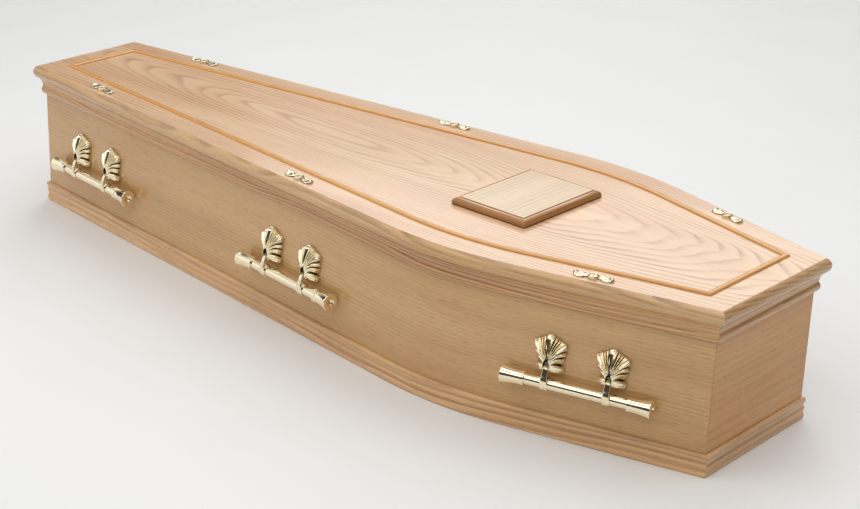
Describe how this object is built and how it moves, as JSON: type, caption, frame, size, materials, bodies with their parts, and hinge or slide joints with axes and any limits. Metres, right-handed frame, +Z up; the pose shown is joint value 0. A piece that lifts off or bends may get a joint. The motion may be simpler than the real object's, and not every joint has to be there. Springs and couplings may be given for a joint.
{
  "type": "wooden coffin",
  "caption": "Shouldered oak-veneer coffin with a flat bullnose lid, moulded edges, swing-bar handles, lid fittings and a bare nameplate.",
  "frame": {"origin": "on the ground, under the middle of the coffin's bounding box", "axes": "+X to the head end, +Y to the right side, +Z up"},
  "size_m": [1.944, 0.6124, 0.3485],
  "materials": {
    "side_oak": "satin lacquered oak veneer",
    "lid_oak": "satin lacquered pale oak veneer",
    "oak_moulding": "satin lacquered moulding",
    "oak_strip": "satin lacquered half-round strip",
    "brass_casting": "polished pale brass plating"
  },
  "bodies": {
    "coffin": {"base_board": "side_oak", "side_board_left": "side_oak", "side_board_right": "side_oak", "head_panel": "side_oak", "foot_panel": "side_oak", "top_moulding_left": "oak_moulding", "top_moulding_right": "oak_moulding", "top_moulding_head": "oak_moulding", "top_moulding_foot": "oak_moulding", "base_moulding_left": "oak_moulding", "base_moulding_right": "oak_moulding", "base_moulding_head": "oak_moulding", "base_moulding_foot": "oak_moulding", "lid_strip_left": "oak_strip", "lid_strip_right": "oak_strip", "lid_strip_head": "oak_strip", "lid_strip_foot": "oak_strip", "lid_board": "lid_oak", "nameplate": "lid_oak", "lid_fitting_left_foot": "brass_casting", "escutcheon_left_foot_1": "brass_casting", "escutcheon_left_foot_2": "brass_casting", "lid_fitting_left_middle": "brass_casting", "escutcheon_left_middle_1": "brass_casting", "escutcheon_left_middle_2": "brass_casting", "lid_fitting_left_head": "brass_casting", "escutcheon_left_head_1": "brass_casting", "escutcheon_left_head_2": "brass_casting", "lid_fitting_right_foot": "brass_casting", "escutcheon_right_foot_1": "brass_casting", "escutcheon_right_foot_2": "brass_casting", "lid_fitting_right_middle": "brass_casting", "escutcheon_right_middle_1": "brass_casting", "escutcheon_right_middle_2": "brass_casting", "lid_fitting_right_head": "brass_casting", "escutcheon_right_head_1": "brass_casting", "escutcheon_right_head_2": "brass_casting"},
    "handle_left_foot": {"handle_bar_left_foot": "brass_casting", "handle_arm_left_foot_1": "brass_casting", "handle_arm_left_foot_2": "brass_casting"},
    "handle_left_middle": {"handle_bar_left_middle": "brass_casting", "handle_arm_left_middle_1": "brass_casting", "handle_arm_left_middle_2": "brass_casting"},
    "handle_left_head": {"handle_bar_left_head": "brass_casting", "handle_arm_left_head_1": "brass_casting", "handle_arm_left_head_2": "brass_casting"},
    "handle_right_foot": {"handle_bar_right_foot": "brass_casting", "handle_arm_right_foot_1": "brass_casting", "handle_arm_right_foot_2": "brass_casting"},
    "handle_right_middle": {"handle_bar_right_middle": "brass_casting", "handle_arm_right_middle_1": "brass_casting", "handle_arm_right_middle_2": "brass_casting"},
    "handle_right_head": {"handle_bar_right_head": "brass_casting", "handle_arm_right_head_1": "brass_casting", "handle_arm_right_head_2": "brass_casting"}
  },
  "joints": [
    {"name": "handle_left_foot_swing", "type": "hinge", "parent": "coffin", "child": "handle_left_foot", "pos_m": [-0.7354, -0.17625, 0.157], "axis": [-0.9932, 0.1163, 0], "range_deg": [0, 45]},
    {"name": "handle_left_middle_swing", "type": "hinge", "parent": "coffin", "child": "handle_left_middle", "pos_m": [-0.01853, -0.2602, 0.157], "axis": [-0.9932, 0.1163, 0], "range_deg": [0, 45]},
    {"name": "handle_left_head_swing", "type": "hinge", "parent": "coffin", "child": "handle_left_head", "pos_m": [0.71412, -0.23971, 0.157], "axis": [-0.9685, -0.2491, 0], "range_deg": [0, 45]},
    {"name": "handle_right_foot_swing", "type": "hinge", "parent": "coffin", "child": "handle_right_foot", "pos_m": [-0.7354, 0.17625, 0.157], "axis": [0.9932, 0.1163, 0], "range_deg": [0, 45]},
    {"name": "handle_right_middle_swing", "type": "hinge", "parent": "coffin", "child": "handle_right_middle", "pos_m": [-0.01853, 0.2602, 0.157], "axis": [0.9932, 0.1163, 0], "range_deg": [0, 45]},
    {"name": "handle_right_head_swing", "type": "hinge", "parent": "coffin", "child": "handle_right_head", "pos_m": [0.71412, 0.23971, 0.157], "axis": [0.9685, -0.2491, 0], "range_deg": [0, 45]}
  ]
}
